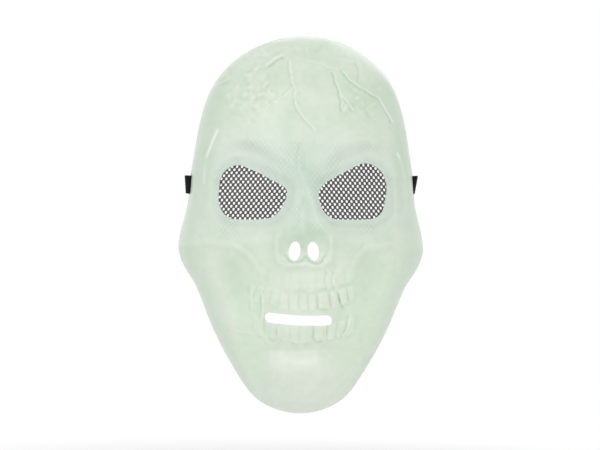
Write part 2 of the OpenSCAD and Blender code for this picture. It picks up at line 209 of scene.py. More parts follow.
# Broken seam of the skull at the upper left
SKULL_SEAM = [
    [(-16, 84), (-19.7, 82.2), (-22, 80), (-24.5, 77.9), (-29.2, 76.3), (-32.4, 73.7)],
    [(-33.2, 71.6), (-38.5, 70.2), (-45.4, 69.4), (-49.4, 69.1), (-54.2, 66.8)],
]
# Slanting knobs on the sides of the forehead
KNOBS = [
    (-38.8, 58.2), (-34.3, 54.6), (-47.7, 50.3), (-40.7, 48.6), (-28.9, 57.6), (-27.1, 69.9), (-35, 63.3),
    (-49.8, 57), (-23.5, 60.6), (-43.5, 63.5), (-31.5, 50.5), (-25.5, 64.5), (-45, 54), (-36, 68.5),
    (-30.5, 46.8), (33.7, 56), (40.9, 49.7), (26.5, 49.2), (48.9, 63), (45.5, 52.5),
]
# Small pinches of painted shade in the painted light along the crown's margin
PINCHES = [(-49, 75.2), (-40.1, 81.7), (-54.8, 67.4)]
# Soft raised lines round the nose and under the cheekbones: height, softness, points
SOFT_LINES = [
    (0.65, 1.4, [(-17.8, -38), (-17.8, -45.3), (-15.9, -51.1), (-13, -53), (-10, -53.1), (-3.7, -51.8),
                 (0.8, -50.5), (6, -53), (12.4, -53.1), (16.9, -49.2), (18.2, -42.8), (17.6, -37)]),
    (0.75, 2.2, [(-62, -37.6), (-44, -40.4), (-38, -44), (-31, -51), (-26.8, -57)]),
    (0.75, 2.2, [(60, -38), (41, -41), (36, -45.5), (32, -52), (30.4, -60)]),
]
# Lines round the nose, teeth and jaw and between the brows, as for the cracks
CREASES = [
    (0, 0.85, [(-10.8, -46), (-8.7, -49.2), (-5.8, -50.8), (-2.7, -50.1), (-0.1, -48.2), (2, -46.4),
               (4.2, -48.4), (6.9, -50.7), (10, -51.1), (12.6, -49.4), (14.3, -46)]),
    (0.2, 0.5, [(15, -56.7), (14.4, -61.9), (15.1, -67.6)]),
    (0.2, 0.5, [(19.6, -56.7), (19.1, -61.8), (20.1, -67)]),
    (0.3, 0.55, [(21.5, -68.2), (24.5, -74.5), (26.3, -79.1)]),
    (0.4, 0.15, [(-24.5, -92.4), (-24.1, -98.2), (-22.6, -102.2), (-19.2, -103.1), (-16.4, -101.5),
                 (-15.9, -96.8), (-16.4, -92.1)]),
    (0.15, 0.4, [(6.8, -92.9), (8, -98.8), (10.4, -101.3), (13.3, -100.8), (14.5, -96.4), (14.2, -92.3)]),
    (0.5, 0.1, [(-8.9, -100.1), (-4.3, -101.7), (0.3, -101.9), (4.9, -100.6)]),
    (0.6, 0.2, [(30.3, -84), (30.3, -86.5), (29.5, -91.9), (25.8, -97.7)]),
    (0.35, 0.1, [(-47, -95), (-43.4, -95.5), (-36.5, -96.9), (-29.6, -97.8), (-24.4, -99.4)]),
    (0.6, 0.2, [(-33.6, -69), (-33.1, -74.7), (-32.7, -81.1)]),
    (0.6, 0.4, [(-26.5, -68.8), (-26.7, -74.5), (-26.2, -80.8), (-26.6, -88)]),
    (0.3, 0.22, [(-2.8, 23.5), (-3.8, 19.2), (-4.4, 15.3), (-3.4, 12.2), (-4, 9.3)]),
]
# Raised strokes at the temples, which also carry a painted highlight: strength, points
TEMPLE_LINES = [
    (1, [(-56.4, 34.6), (-60.4, 25), (-63.4, 17)]), (0.4, [(-63.8, 14), (-64.6, 7), (-64.9, 0)]),
    (0.7, [(61.5, 20.5), (64.6, 14), (66.5, 6)]),
]
# Heights and softness of these lines
LINE_RISE, LINE_DIP = 0.9, 0.75
SEAM_RISE, SEAM_DIP, SEAM_SOFT, SEAM_DROP = 1.5, 0.9, 1.2, 2.2
TEMPLE_RISE, TEMPLE_SOFT = 0.9, 1.3
# Crumpled patches of the forehead: strength, middle, softness; a band on its top: strength, softness, points
KNOB_RISE, LUMP_RISE = 1.35, 0.7
LUMP_PATCHES = [(1, (-38, 58), (16, 14)), (0.7, (39, 52), (14, 11))]
LUMP_BAND = (0.55, 6, [(-42, 78), (-24, 86), (0, 89), (24, 86), (44, 77)])
# Waves of the formed sheet: height, cell, seed
WAVES = [(0.3, 7.0, 8), (0.16, 3.0, 9)]
# Swells of the chin: height, middle, softness; and the line under it: height, softness, points
CHIN_SWELLS = [(1.2, (-17, -120), (8, 7)), (1.2, (17, -120), (8, 7)), (-0.6, (0, -137), (22, 5))]
CHIN_LINE = (0.8, 3, [(-20, -146), (0, -147.5), (20, -146)])


def value_noise(x, z, cell, seed):
    """Smooth noise from -1 to 1 on a square lattice."""
    n, shift_x, shift_z = 256, 97.3, 113.7
    table = np.random.default_rng(seed).uniform(-1, 1, (n, n))
    gx, gz = x / cell + shift_x, z / cell + shift_z
    ix, iz = np.floor(gx).astype(int), np.floor(gz).astype(int)
    fx, fz = gx - ix, gz - iz
    fx, fz = fx * fx * (3 - 2 * fx), fz * fz * (3 - 2 * fz)
    a, b = table[ix % n, iz % n], table[(ix + 1) % n, iz % n]
    c, d = table[ix % n, (iz + 1) % n], table[(ix + 1) % n, (iz + 1) % n]
    return (a * (1 - fx) + b * fx) * (1 - fz) + (c * (1 - fx) + d * fx) * fz


def tooth_row(x, z, edges, strength, gum, tip, root, fan, seed):
    """Rounded teeth between a scalloped gum line and their tips, with faint roots past the gum."""
    rng = np.random.default_rng(seed)
    wander, cell = 0.8, 7.0
    arch, arch_x, arch_most = 4.6, 28, 1.4
    scallop, groove, root_rise, gum_dip = 2.2, 0.3, 0.4, 0.3
    x, z = (x + wander * value_noise(x, z, cell, seed + 4), z + wander * value_noise(x, z, cell, seed + 5))
    out = np.zeros(x.shape)
    up = 1 if gum > tip else -1
    curve = arch * np.minimum(arch_most, np.abs(x) / arch_x) ** 2
    across = x * (1 - fan * up * (gum - z))
    for left, right, clear in zip(edges, edges[1:], strength):
        rise, slip, end = rng.uniform(0.75, 1.15), rng.uniform(-0.7, 0.7), rng.uniform(-0.5, 0.5)
        t = (across - left) / (right - left)
        inside = (t > 0) & (t < 1)
        c = np.clip(2 * t - 1, -1, 1)
        neck = up * (gum + curve + slip + up * scallop * (np.sqrt(1 - c * c) - 0.7) - z)
        foot = up * (z - tip - curve - end)
        body = ease(-0.1, 2.0, neck) * ease(-0.4, 1.6, foot)
        crown = rise * (1 - np.abs(c) ** 3) - groove * ease(0.78, 1, np.abs(c))
        roots = root_rise * (1 - c * c) * ease(0.5, 3.5, -neck) * ease(0, 8, up * (root + curve - z))
        gumline = np.exp(-((neck + 0.5) / 0.7) ** 2) * ease(0.2, 0.9, 1 - np.abs(c))
        out += inside * clear * (crown * body + roots - gum_dip * gumline)
    return out


def knobs(x, z):
    """Knobs on the sides of the forehead, longer along the slant."""
    rng = np.random.default_rng(41)
    out = np.zeros(np.broadcast(x, z).shape)
    for kx, kz in KNOBS:
        height, slant = rng.uniform(0.45, 0.85), math.radians(rng.uniform(20, 65))
        u = (x - kx) * math.cos(slant) + (z - kz) * math.sin(slant)
        v = (z - kz) * math.cos(slant) - (x - kx) * math.sin(slant)
        out += height * bump(u, v, (0, 0), (rng.uniform(1.6, 2.4), rng.uniform(1.0, 1.4)))
    return out


def crumpled(x, z):
    """Irregular lumps on the sides and along the top of the forehead."""
    wander, cell, slant = 1.8, 5.0, 0.6
    wx, wz = x + wander * value_noise(x, z, cell, 61), z + wander * value_noise(x, z, cell, 62)
    lumps = value_noise(wx + slant * wz, wz, 3.8, 63) + 0.5 * value_noise(wx, wz, 2.2, 64)
    where = sum(strength * bump(x, z, at, size) for strength, at, size in LUMP_PATCHES)
    strength, size, line = LUMP_BAND
    return (where + strength * ridge(x, z, line, size)) * lumps


def wavering(x, z):
    """Points moved a little to and fro, so that lines drawn through them waver."""
    return (x + 0.6 * value_noise(x, z, 4.0, 21) + 0.3 * value_noise(x, z, 1.9, 23),
            z + 0.5 * value_noise(x, z, 5.0, 22))


def drawn_lines(x, z):
    """How strongly a point lies on a raised line and in the dip to its lower left, from 0 to 1."""
    rise_x, rise_soft = 0.35, 0.6
    dip_x, dip_z, dip_soft = -0.85, -0.35, 0.75
    raised = dipped = np.zeros(np.broadcast(x, z).shape)
    for rise, dip, line in CRACKS + CREASES:
        raised = np.maximum(raised, rise * ridge(x - rise_x, z, line, rise_soft))
        dipped = np.maximum(dipped, dip * ridge(x - dip_x, z - dip_z, line, dip_soft))
    return raised, dipped


def fine_relief(x, z):
    """Teeth, cracks, knobs and creases: how far the surface stands out from the plain form."""
    out = tooth_row(x, z, **UPPER_TEETH) + tooth_row(x, z, **LOWER_TEETH)
    sx, sz = wavering(x, z)
    raised, dipped = drawn_lines(sx, sz)
    out += LINE_RISE * raised - LINE_DIP * dipped
    broken = ease(-0.85, 0.1, value_noise(x, z, 4.5, 24))
    for line in SKULL_SEAM:
        out += broken * (SEAM_RISE * ridge(sx, sz, line, SEAM_SOFT)
                         - SEAM_DIP * ridge(sx, sz + SEAM_DROP, line, SEAM_SOFT))
    for height, size, line in SOFT_LINES:
        out += height * ridge(sx, sz, line, size)
    for strength, line in TEMPLE_LINES:
        out += TEMPLE_RISE * strength * ridge(x, z, line, TEMPLE_SOFT)
    out += KNOB_RISE * knobs(x, z) + LUMP_RISE * crumpled(x, z)
    for height, cell, seed in WAVES:
        out += height * value_noise(x, z, cell, seed)
    for height, at, size in CHIN_SWELLS:
        out += height * bump(x, z, at, size)
    height, size, line = CHIN_LINE
    return out + height * ridge(x, z, line, size)


def depth(x, z):
    """Depth of the shell's outer face in front of the rim."""
    across = np.abs(x)
    share = np.minimum(1, across / np.maximum(0.001, half_width(z)))
    dome = loft(z, 2) * np.sqrt(np.maximum(0, 1 - share ** SECTION_POWER))
    relief = sum(h * ridge(across, z, line, size) for h, size, line in RIDGES)
    relief = relief + sum(h * bump(across, z, at, size) for h, at, size in SWELLS) + fine_relief(x, z)
    raised = dome + relief * (1 - share ** RIM_FADE)
    lean = (z - EYE_Z) * math.tan(SOCKET_LEAN) / math.cos(SOCKET_TURN)
    blunt = np.where(across < BRIDGE_R, (across ** 2 + BRIDGE_R ** 2) / (2 * BRIDGE_R), across)
    floor_d = SOCKET_D - math.tan(SOCKET_TURN) * (blunt - EYE_X) - lean
    hold = 1 - ease(LEDGE, LEDGE + LEDGE_SLOPE, eye_distance(x, z))
    return np.where(share >= 1, 0, raised * (1 - hold) + floor_d * hold)


# Openings punched through the shell
NOSTRIL_X, NOSTRIL_Z, NOSTRIL_W, NOSTRIL_H = 6.0, -43.5, 7.4, 12.5
NOSTRIL_LEAN = math.radians(8)
MOUTH_X, MOUTH_Z, MOUTH_W, MOUTH_H, MOUTH_SAG = -3.0, -87.0, 44.0, 6.5, 0.8
MOUTH_TILT = math.radians(2)
# The strap slots are cut only where the shell is at least SLOT_SIDE from the middle line
SLOT_BACK, SLOT_W, SLOT_HALF, SLOT_SIDE = 12.0, 3.0, 5.4, 60


def nostril_distance(x, z):
    """Roughly the distance outside the edge of a nostril."""
    across, up = np.abs(x) - NOSTRIL_X, z - NOSTRIL_Z
    u = across * math.cos(NOSTRIL_LEAN) + up * math.sin(NOSTRIL_LEAN)
    v = up * math.cos(NOSTRIL_LEAN) - across * math.sin(NOSTRIL_LEAN)
    return (np.hypot(2 * u / NOSTRIL_W, 2 * v / NOSTRIL_H) - 1) * NOSTRIL_W / 2


def mouth_point(t):
    x, z = (t - 0.5) * (MOUTH_W - MOUTH_H), -MOUTH_SAG * math.sin(math.pi * t)
    return (MOUTH_X + x * math.cos(MOUTH_TILT) + z * math.sin(MOUTH_TILT),
            MOUTH_Z - x * math.sin(MOUTH_TILT) + z * math.cos(MOUTH_TILT))


MOUTH_LINE = [mouth_point(t) for t in np.linspace(0, 1, 13)]


def punched(x, y, z):
    """Distance outside the nearest opening, negative inside it."""
    nostril = nostril_distance(x, z)
    mouth = away_from(x, z, MOUTH_LINE) - MOUTH_H / 2
    slot = away_from(y, z, [(-SLOT_BACK, -SLOT_HALF), (-SLOT_BACK, SLOT_HALF)]) - SLOT_W / 2
    slot = np.where(np.abs(x) > SLOT_SIDE, slot, np.inf)
    eye = np.where(x < 0, eye_distance(x, z, EYE_CUTS[-1]), eye_distance(x, z, EYE_CUTS[1]))
    return np.minimum(np.minimum(eye, nostril), np.minimum(mouth, slot))


def new_object(name, data):
    obj = bpy.data.objects.new(name, data)
    scene.collection.objects.link(obj)
    return obj


@contextmanager
def edited(mesh):
    bm = bmesh.new()
    bm.from_mesh(mesh)
    yield bm
    bm.to_mesh(mesh)
    bm.free()


def soften(obj, sharp=40):
    """Turns faces outwards and makes them smooth, except where two meet at a sharp angle, in degrees."""
    limit = math.radians(sharp)
    with edited(obj.data) as bm:
        bmesh.ops.recalc_face_normals(bm, faces=bm.faces)
        for face in bm.faces:
            face.smooth = True
        for edge in bm.edges:
            edge.smooth = len(edge.link_faces) == 2 and edge.calc_face_angle(0) < limit


def mesh_from(name, points, faces, material):
    """Smooth mesh object from points in millimetres."""
    mesh = bpy.data.meshes.new(name)
    mesh.from_pydata([tuple(p) for p in np.asarray(points, float) * MM], [], faces)
    mesh.validate()
    mesh.materials.append(material)
    obj = new_object(name, mesh)
    soften(obj)
    return obj


def thicken(obj, way, merge, thickness, offset):
    """Merges near points of an open sheet, turns its faces one way and gives it a thickness."""
    with edited(obj.data) as bm:
        bmesh.ops.delete(bm, geom=[v for v in bm.verts if not v.link_faces], context="VERTS")
        bmesh.ops.remove_doubles(bm, verts=bm.verts, dist=merge * MM)
        bmesh.ops.recalc_face_normals(bm, faces=bm.faces)
        if sum(face.normal.dot(way) for face in bm.faces) < 0:
            bmesh.ops.reverse_faces(bm, faces=bm.faces)
    modifier = obj.modifiers.new("thickness", "SOLIDIFY")
    modifier.thickness, modifier.offset = thickness * MM, offset
    sheet, graph = obj.data, bpy.context.evaluated_depsgraph_get()
    solid = bpy.data.meshes.new_from_object(obj.evaluated_get(graph))
    obj.modifiers.clear()
    obj.data = solid
    bpy.data.meshes.remove(sheet)


def ring_quads(start, rings, around):
    """Faces between closed rings of points that follow one another."""
    faces = []
    for i in range(rings - 1):
        for k in range(around):
            a, b = start + i * around + k, start + i * around + (k + 1) % around
            faces.append([a, b, b + around, a + around])
    return faces


def mirrored(side):
    return Matrix.Scale(-1, 4, (1, 0, 0)) if side < 0 else Matrix.Identity(4)


def linear(r, g, b):
    def one(v):
        v /= 255
        return v / 12.92 if v <= 0.04045 else ((v + 0.055) / 1.055) ** 2.4
    return one(r), one(g), one(b), 1


class Nodes:
    """Short way to write a material's nodes."""

    def __init__(self, name):
        self.material = bpy.data.materials.new(name)
        self.material.use_nodes = True
        self.tree = self.material.node_tree
        self.shader = self.tree.nodes["Principled BSDF"]

    def link(self, source, target):
        self.tree.links.new(source, target)

    def put(self, socket, value):
        """Gives an input a value, or links it to another node's output."""
        if isinstance(value, (int, float, tuple)):
            socket.default_value = value
        else:
            self.link(value, socket)

    def add(self, kind, **values):
        node = self.tree.nodes.new(kind)
        for key, value in values.items():
            if hasattr(node, key):
                setattr(node, key, value)
            else:
                self.put(node.inputs[key], value)
        return node

    def math(self, operation, *values):
        node = self.add("ShaderNodeMath", operation=operation)
        for socket, value in zip(node.inputs, values):
            self.put(socket, value)
        return node.outputs[0]

    def ramp(self, source, low, high, to_low=0.0, to_high=1.0):
        ends = {"From Min": low, "From Max": high, "To Min": to_low, "To Max": to_high}
        return self.add("ShaderNodeMapRange", Value=source, **ends).outputs["Result"]

    def mix(self, factor, a, b):
        node = self.add("ShaderNodeMix", data_type="RGBA")
        for i, value in ((0, factor), (6, a), (7, b)):
            self.put(node.inputs[i], value)
        return node.outputs[2]

    def noise(self, scale, detail, roughness, place):
        values = {"Scale": scale, "Detail": detail, "Roughness": roughness, "Vector": place}
        return self.add("ShaderNodeTexNoise", **values).outputs[0]

    def place(self):
        return self.add("ShaderNodeTexCoord").outputs["Object"]

    def split(self, vector):
        return self.add("ShaderNodeSeparateXYZ", Vector=vector).outputs

    def bump(self, height, strength, distance):
        node = self.add("ShaderNodeBump", Strength=strength, Distance=distance, Height=height)
        self.link(node.outputs[0], self.shader.inputs["Normal"])

    def set(self, **values):
        """Sets or links inputs of the shader."""
        for key, value in values.items():
            self.put(self.shader.inputs[key.replace("_", " ")], value)


# Holes of the eye screens: distance along a row and between rows
HOLE_PITCH, ROW_PITCH = 3.6, 2.0
# Colours that the shell's painted tones mix in, in this order: a cool tint, painted light over the screens'
# margins, a leaf-green tint, painted shade and painted light
TONES = [
    ("cool", (207, 221, 217)), ("screen_margin_light", (216, 236, 216)), ("leaf", (208, 231, 204)),
    ("shade", (182, 202, 182)), ("light", (244, 248, 239)),
]


def shell_material():
    """Milky translucent sheet with painted tints, painted shade and painted light, and a faint painted shadow
    of the screens' holes round the eyes.
    """
    n = Nodes("shell_plastic")
    place = n.place()
    cloud = n.math("ADD", n.noise(14, 4, 0.55, place), n.noise(62, 2, 0.5, place))
    base = n.mix(n.ramp(cloud, 0.75, 1.25), linear(205, 220, 201), linear(217, 227, 211))

    def painted(name):
        return n.add("ShaderNodeAttribute", attribute_name=name).outputs["Fac"]

    for name, colour in TONES:
        base = n.mix(painted(name), base, linear(*colour))
    x, _, z = n.split(place)
    up = n.math("SUBTRACT", z, EYE_Z * MM)
    out = n.math("SUBTRACT", n.math("ABSOLUTE", x), EYE_X * MM)
    lean = n.math("MULTIPLY", up, math.tan(SOCKET_LEAN) * math.tan(SOCKET_TURN) / MM)
    u = n.math("ADD", n.math("DIVIDE", out, math.cos(SOCKET_TURN) * MM), lean)
    v = n.math("DIVIDE", up, math.cos(SOCKET_LEAN) * MM)
    wave = n.math("MULTIPLY", n.math("COSINE", n.math("MULTIPLY", u, 2 * math.pi / HOLE_PITCH)),
                  n.math("COSINE", n.math("MULTIPLY", v, math.pi / ROW_PITCH)))
    # Painted shadow of the screens' bars, seen faintly through the sheet round the eyes
    screen_shadow = n.math("MULTIPLY", n.ramp(wave, 0.35, -0.1), painted("screen_shadow"))
    n.bump(n.noise(260, 3, 0.55, place), 0.1, 0.0004)
    n.set(Base_Color=n.mix(screen_shadow, base, linear(160, 177, 161)), IOR=1.49,
          Roughness=n.ramp(n.noise(60, 3, 0.5, place), 0.3, 0.7, 0.3, 0.44),
          Subsurface_Weight=0.6, Subsurface_Scale=0.003, Subsurface_Radius=(1.0, 1.1, 0.9),
          Coat_Weight=0.35, Coat_Roughness=0.12)
    return n.material


def screen_material():
    n = Nodes("screen_plastic")
    place = n.place()
    speck = n.noise(900, 3, 0.6, place)
    n.bump(speck, 0.2, 0.0001)
    n.set(Base_Color=n.mix(n.ramp(speck, 0.35, 0.7), linear(60, 62, 59), linear(84, 86, 82)), IOR=1.49,
          Roughness=n.ramp(n.noise(300, 2, 0.5, place), 0.3, 0.7, 0.42, 0.6))
    return n.material


def glue_material():
    n = Nodes("hot_glue")
    place = n.place()
    cloud = n.noise(420, 3, 0.5, place)
    n.bump(n.noise(700, 2, 0.5, place), 0.15, 0.0002)
    n.set(Base_Color=n.mix(n.ramp(cloud, 0.3, 0.7), linear(226, 221, 203), linear(240, 237, 226)),
          Roughness=n.ramp(cloud, 0.2, 0.8, 0.22, 0.36), IOR=1.48,
          Subsurface_Weight=0.4, Subsurface_Scale=0.0015)
    return n.material


def elastic_material():
    """Black knitted elastic: ribs along the length, small loops across it, laid out by the mesh's own map."""
    n = Nodes("elastic")
    u, v, _ = n.split(n.add("ShaderNodeUVMap", uv_map="weave").outputs[0])
    along, ribs = (n.math("SINE", n.math("MULTIPLY", way, 2 * math.pi)) for way in (u, v))
    loops = n.math("MULTIPLY", n.ramp(along, -1, 1, 0.4, 1), n.ramp(ribs, -0.9, 0.9))
    fuzz = n.noise(1500, 2, 0.6, n.place())
    # Darker between the knit's loops and ribs: painted shade in the knit's hollows
    tint = n.mix(loops, linear(4, 4, 5), linear(18, 18, 20))
    n.bump(n.math("ADD", loops, n.math("MULTIPLY", fuzz, 0.4)), 0.6, 0.00025)
    n.set(Base_Color=n.mix(n.ramp(fuzz, 0.4, 0.75, 0, 0.35), tint, linear(28, 28, 30)), Roughness=0.85,
          Specular_IOR_Level=0.2, Sheen_Weight=0.05, Sheen_Roughness=0.5, Sheen_Tint=(0.5, 0.5, 0.52, 1))
    return n.material


def thread_material():
    n = Nodes("thread")
    twist = n.add("ShaderNodeTexWave", Scale=900, Distortion=1.5, Vector=n.place()).outputs["Fac"]
    n.bump(twist, 0.4, 0.0001)
    # Darker in the grooves of the twist: painted shade between the thread's plies
    n.set(Base_Color=n.mix(twist, linear(20, 20, 22), linear(62, 62, 66)), Roughness=0.6, Sheen_Weight=0.2)
    return n.material


SHELL, SCREEN, GLUE = shell_material(), screen_material(), glue_material()
ELASTIC, THREAD = elastic_material(), thread_material()


def spaced(stops):
    """Values through stops, with a step for each stretch."""
    out = [stops[0][0]]
    for (a, _), (b, step) in zip(stops, stops[1:]):
        count = max(1, round(abs(b - a) / step))
        out += list(np.linspace(a, b, count + 1)[1:])
    return np.array(out)


def shell_grid():
    """Points of the shell's outer face, on rows and columns by angle that are closest round the eyes."""
    rows = spaced([(88.5, 0), (70, 0.8), (45, 0.42), (26, 0.32), (-42, 0.36), (-62, 0.55), (-88.5, 0.95)])
    half = spaced([(0, 0), (34, 0.5), (60, 0.72), (84, 1.2), (90, 1.5)])
    columns = np.concatenate([-half[:0:-1], half])
    z = (MID_Z + HALF_H * np.sin(np.radians(rows)))[:, None]
    x = half_width(z) * np.sin(np.radians(columns))[None, :]
    z = np.broadcast_to(z, x.shape)
    y = -depth(x, z)
    y[:, [0, -1]] = 0
    return x, y, z


# How far the top of the crown lies to +X, and the heights between which it leans
CROWN_SHIFT, CROWN_LOW, CROWN_HIGH = 1.2, 58, 96


def crown_lean(z):
    return CROWN_SHIFT * ease(CROWN_LOW, CROWN_HIGH, z)


def clip_faces(points, gap, rows, columns):
    """Quads of a grid with everything inside the punched openings cut away along their edges."""
    points = list(points)
    made = {}

    def between(a, b):
        key = (min(a, b), max(a, b))
        if key not in made:
            t = gap[a] / (gap[a] - gap[b])
            made[key] = len(points)
            points.append(points[a] * (1 - t) + points[b] * t)
        return made[key]

    faces = []
    for i in range(rows - 1):
        for j in range(columns - 1):
            quad = [i * columns + j, (i + 1) * columns + j, (i + 1) * columns + j + 1, i * columns + j + 1]
            keep = [gap[v] >= 0 for v in quad]
            if all(keep):
                faces.append(quad)
            elif any(keep):
                poly = []
                for k in range(4):
                    a, b = quad[k], quad[(k + 1) % 4]
                    if keep[k]:
                        poly.append(a)
                    if keep[k] != keep[(k + 1) % 4]:
                        poly.append(between(a, b))
                faces.append(poly)
    return points, faces


# Raster of the face for its painted shade in the hollows of the fine relief and painted light on its rises:
# step, half width, and the steps each way of the local mean
RASTER, RASTER_X, MEAN_STEPS = 0.5, 84, 4


def relief_detail():
    """Fine relief less its local mean, on a square raster of the face."""
    x = np.arange(-RASTER_X, RASTER_X + 0.1, RASTER)[None, :]
    z = np.arange(-CHIN_DROP, CROWN_H + 0.1, RASTER)[:, None]
    fine = mean = fine_relief(x, z)
    steps = range(-MEAN_STEPS, MEAN_STEPS + 1)
    for axis in (0, 1, 0, 1):
        mean = sum(np.roll(mean, k, axis) for k in steps) / len(steps)
    return fine - mean


def sampled(raster, x, z):
    """Value of a raster of the face at given points."""
    gx, gz = (x + RASTER_X) / RASTER, (z + CHIN_DROP) / RASTER
    ix = np.clip(gx.astype(int), 0, raster.shape[1] - 2)
    iz = np.clip(gz.astype(int), 0, raster.shape[0] - 2)
    fx, fz = np.clip(gx - ix, 0, 1), np.clip(gz - iz, 0, 1)
    low = raster[iz, ix] * (1 - fx) + raster[iz, ix + 1] * fx
    high = raster[iz + 1, ix] * (1 - fx) + raster[iz + 1, ix + 1] * fx
    return low * (1 - fz) + high * fz


# Darker places of the milky sheet, painted as shade, and lighter ones, painted as light: strength, middle,
# softness across and up
SHADES = [
    (0.55, (0, 8), (16, 16)), (0.5, (0, -33), (18, 9)), (0.3, (0, -16), (9, 12)), (0.18, (0, -62), (20, 8)),
    (0.3, (-46, -66), (12, 17)), (0.2, (60, 14), (12, 26)), (0.28, (66, 8), (10, 30)),
    (0.28, (-66, 8), (10, 30)), (0.18, (66, -24), (10, 16)), (0.45, (46, 56), (24, 24)),
    (0.3, (-54, 52), (12, 20)),
]
LIGHTS = [(0.28, (0, -120), (22, 12)), (0.3, (0, -138), (26, 12))]
# Painted light: paler patches above the upper teeth and on the chin: strength, left, right, low, high
PALE_BLOCKS = [(0.1, -21.5, 20.6, -67.3, -57), (0.17, -21.4, 9.8, -116.5, -107.2)]
# Lines of painted shade on the crown, and of painted light on half of the brow and along the left jaw
CROWN_CREASE = [(5, 86), (10, 89.5), (14, 93.5)]
BROW_LINE = [(12, 12), (28, 18), (44, 20)]
JAW_LINE = [(-57.7, -62), (-50, -82), (-45.5, -90)]
PINCH_SLANT, PINCH_SIZE = 0.8, (1.4, 2.4)


def painted_tones(x, y, z):
    """Weights of the shell's tints, its painted shade and painted light, and of the painted shadow of the eye
    screens that shows faintly through it.
    """
    side = np.abs(x)
    share = side / np.maximum(1, half_width(z))
    detail = sampled(relief_detail(), x, z) * (1 - np.minimum(1, share) ** 8)
    raised, dipped = drawn_lines(*wavering(x, z))
    # Painted shade: in the hollows of the fine relief, in the dips beside the drawn lines, towards the steep
    # sides, on top of the crown, in the listed spots and along the crown's crease
    edge, crown_top = ease(0.76, 0.95, share), ease(86, 95, z) * ease(-45, -20, y)
    shade = 0.9 * np.clip(-detail, 0, 0.8) + 0.3 * dipped + 0.55 * edge + 0.4 * crown_top
    shade += sum(strength * bump(x, z, at, size) for strength, at, size in SHADES)
    shade += 0.35 * ridge(x, z, CROWN_CREASE, 2.2)

    jaw, patchy = ridge(x, z, JAW_LINE, 7), ease(-0.6, 0.5, value_noise(x, z, 6.0, 52))
    # Painted light: on the drawn lines, on the raised fine relief, along the left jaw, on the brows against
    # their shade, and in the listed spots and patches
    light = 0.35 * raised + 0.4 * np.clip(detail, 0, 1) + 0.18 * jaw + 0.12 * ridge(side, z, BROW_LINE, 7)
    # Painted highlights along the temple strokes, broken into patches
    for strength, line in TEMPLE_LINES:
        light += 0.75 * strength * ridge(x, z, line, 0.7) * patchy
    light += sum(strength * bump(x, z, at, size) for strength, at, size in LIGHTS)
    light += sum(strength * block(x, z, *sides) for strength, *sides in PALE_BLOCKS)
    # Painted light along the rim and on the crown's margins at the upper sides, broken by small pinches of
    # painted shade
    rim, margin = 0.7 * ease(-4, -0.5, y), 0.4 * ease(-26, -2, y) * ease(36, 70, z) * ease(22, 42, side)
    for px, pz in PINCHES:
        at = (px + PINCH_SLANT * pz, pz - PINCH_SLANT * px)
        pinch = bump(x + PINCH_SLANT * z, z - PINCH_SLANT * x, at, PINCH_SIZE)
        margin = margin * (1 - 0.8 * pinch)
        shade += 0.3 * pinch
    light = np.maximum(light, np.maximum(rim, margin))

    # Painted light over the screens' margins, against the shade that the screens cast through the sheet
    screen_margin_light = 0.55 * ease(SCREEN_MARGIN + 1, SCREEN_MARGIN - 2, eye_distance(x, z))
    leaf = 0.5 * ease(-45, -65, z) * ease(16, 34, side) * (1 - 0.8 * jaw)
    cool = 0.7 * bump(side, z, (14, -2), (50, 28))
    # Painted shadow of the screens' bars: where it falls round the eyes, and how strongly
    left = (ease(-58, -55, x) * ease(-1, -3.5, x) * ease(28, 25, z + 0.05 * x)
            * ease(-34, -31.5, z - 0.22 * (x + 20)))
    right = ease(58, 55, x) * ease(1, 3.5, x) * ease(27, 24, z) * ease(-34, -31.5, z)
    screen_shadow = np.maximum(left, right) * (0.03 + 0.14 * ease(-0.2, 0.7, value_noise(x, z, 11.0, 51)))
    return {"shade": np.clip(shade, 0, 1), "light": np.clip(light, 0, 1), "screen_shadow": screen_shadow, "cool": cool,
            "screen_margin_light": screen_margin_light, "leaf": leaf}


def build_shell():
    sharp, ends = 50, 0.5
    x, y, z = shell_grid()
    rows, columns = x.shape
    points = np.stack([x, y, z], axis=-1).reshape(-1, 3)
    points, faces = clip_faces(points, punched(*points.T), rows, columns)
    top, bottom, last = len(points), len(points) + 1, (rows - 1) * columns
    points += [np.array([0, 0, CROWN_H]), np.array([0, 0, -CHIN_DROP])]
    for j in range(columns - 1):
        faces += [[top, j, j + 1], [bottom, last + j + 1, last + j]]
    obj = mesh_from("skull_shell", points, faces, SHELL)
    thicken(obj, way=Vector((0, -1, 0)), merge=0.12, thickness=WALL, offset=-1)
    soften(obj, sharp)
    vertices = obj.data.vertices
    co = np.empty(len(vertices) * 3)
    vertices.foreach_get("co", co)
    x, y, z = co.reshape(-1, 3).T / MM
    inner_z = np.clip(z, -CHIN_DROP + ends, CROWN_H - ends)
    leaning = np.stack([x + crown_lean(inner_z), y, z], axis=-1)
    vertices.foreach_set("co", (leaning * MM).ravel())
    for name, values in painted_tones(x, y, inner_z).items():
        layer = obj.data.attributes.new(name, "FLOAT", "POINT")
        layer.data.foreach_set("value", np.asarray(values, np.float32))
    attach(obj, "mask")
    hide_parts("mask_shell")


# Back of the eye screens, behind the socket floor's outer face
SCREEN_BACK = -WALL - SCREEN_GAP - SCREEN_T
# Holes of the screens: half width and half height, sides, how flat their corners are, distance to the edge
HOLE_W, HOLE_H, HOLE_SIDES, HOLE_CORNER, HOLE_EDGE = 1.22, 1.13, 12, 0.08, 1.6


def socket_matrix(side):
    place = Matrix.Translation((EYE_X * MM, -SOCKET_D * MM, EYE_Z * MM))
    turn = Matrix.Rotation(SOCKET_TURN, 4, "Z") @ Matrix.Rotation(math.pi / 2 - SOCKET_LEAN, 4, "X")
    return mirrored(side) @ place @ turn


